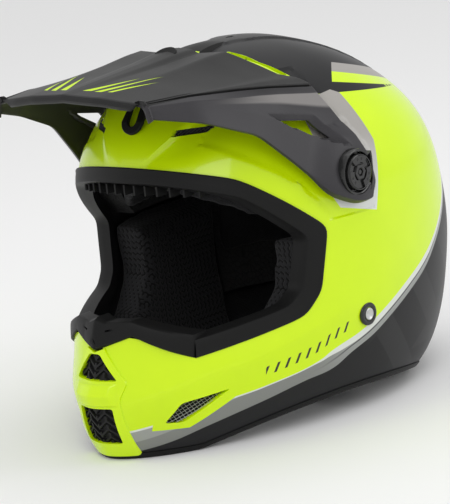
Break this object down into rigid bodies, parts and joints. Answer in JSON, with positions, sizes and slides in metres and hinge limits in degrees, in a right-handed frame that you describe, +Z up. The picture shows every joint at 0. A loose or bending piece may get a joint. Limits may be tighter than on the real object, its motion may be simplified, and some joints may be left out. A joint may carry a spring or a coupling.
{
  "type": "motocross helmet",
  "caption": "Full-face off-road helmet with a tilting peaked visor held by two side screws and a slotted centre tab, lined inside, on a D-ring chin strap.",
  "frame": {"origin": "centre of the whole object's box, at its base", "axes": "+Z up, the face looks along -Y, +X is the wearer's left"},
  "size_m": [0.2656, 0.3741, 0.2845],
  "materials": {
    "shell_gloss": "high gloss paint",
    "foam": "moulded polystyrene foam",
    "liner_mesh": "spacer mesh",
    "liner_cloth": "brushed cloth",
    "trim_rubber": "satin rubber",
    "grille_black": "moulded",
    "vent_mesh": "woven mesh",
    "visor_satin": "satin",
    "screw_black": "gloss",
    "steel": "satin",
    "webbing": "woven webbing"
  },
  "bodies": {
    "helmet": {"outer_shell": "shell_gloss", "impact_liner": "foam", "comfort_liner": "liner_mesh", "cheek_pad_left": "liner_mesh", "cheek_pad_right": "liner_mesh", "chin_bar_liner": "foam", "neck_roll": "liner_cloth", "eyeport_trim": "trim_rubber", "nose_guard": "trim_rubber", "base_trim": "trim_rubber", "mouth_vent_frame": "shell_gloss", "mouth_vent_grille_upper": "grille_black", "mouth_vent_grille_lower": "grille_black", "side_vent_mesh_left": "vent_mesh", "side_vent_mesh_right": "vent_mesh", "brow_vent_mesh": "vent_mesh", "crown_vent_surround_left": "shell_gloss", "crown_vent_surround_right": "shell_gloss", "crown_vent_mesh": "vent_mesh", "crown_duct": "visor_satin", "rear_vent_grilles": "grille_black", "visor_inserts": "steel", "centre_insert": "grille_black", "strap_rivets": "steel", "rivet_rings": "grille_black", "liner_snaps": "grille_black"},
    "visor_body": {"visor": "visor_satin"},
    "screw_left": {"visor_screw_left": "screw_black"},
    "screw_right": {"visor_screw_right": "screw_black"},
    "screw_centre": {"centre_screw": "screw_black"},
    "chin_strap": {"chin_strap_left": "webbing", "chin_strap_right": "webbing", "d_rings": "steel", "strap_hangers": "steel", "strap_sleeve": "liner_cloth", "snap_cap": "grille_black", "snap_socket": "steel"}
  },
  "joints": [
    {"name": "visor_tilt", "type": "hinge", "parent": "helmet", "child": "visor_body", "pos_m": [0, -0.0122, 0.1875], "axis": [-1, 0, 0], "range_deg": [0, 10]},
    {"name": "visor_screw_left_turn", "type": "hinge", "parent": "helmet", "child": "screw_left", "pos_m": [0.12, -0.0122, 0.1875], "axis": [1, 0, 0], "continuous": true},
    {"name": "visor_screw_right_turn", "type": "hinge", "parent": "helmet", "child": "screw_right", "pos_m": [-0.12, -0.0122, 0.1875], "axis": [-1, 0, 0], "continuous": true},
    {"name": "centre_screw_turn", "type": "hinge", "parent": "helmet", "child": "screw_centre", "pos_m": [0, -0.09608, 0.25664], "axis": [0, -0.7716, 0.6361], "continuous": true},
    {"name": "chin_strap_swing", "type": "hinge", "parent": "helmet", "child": "chin_strap", "pos_m": [0, 0.0008, 0.076], "axis": [1, 0, 0], "range_deg": [-10, 10]}
  ]
}
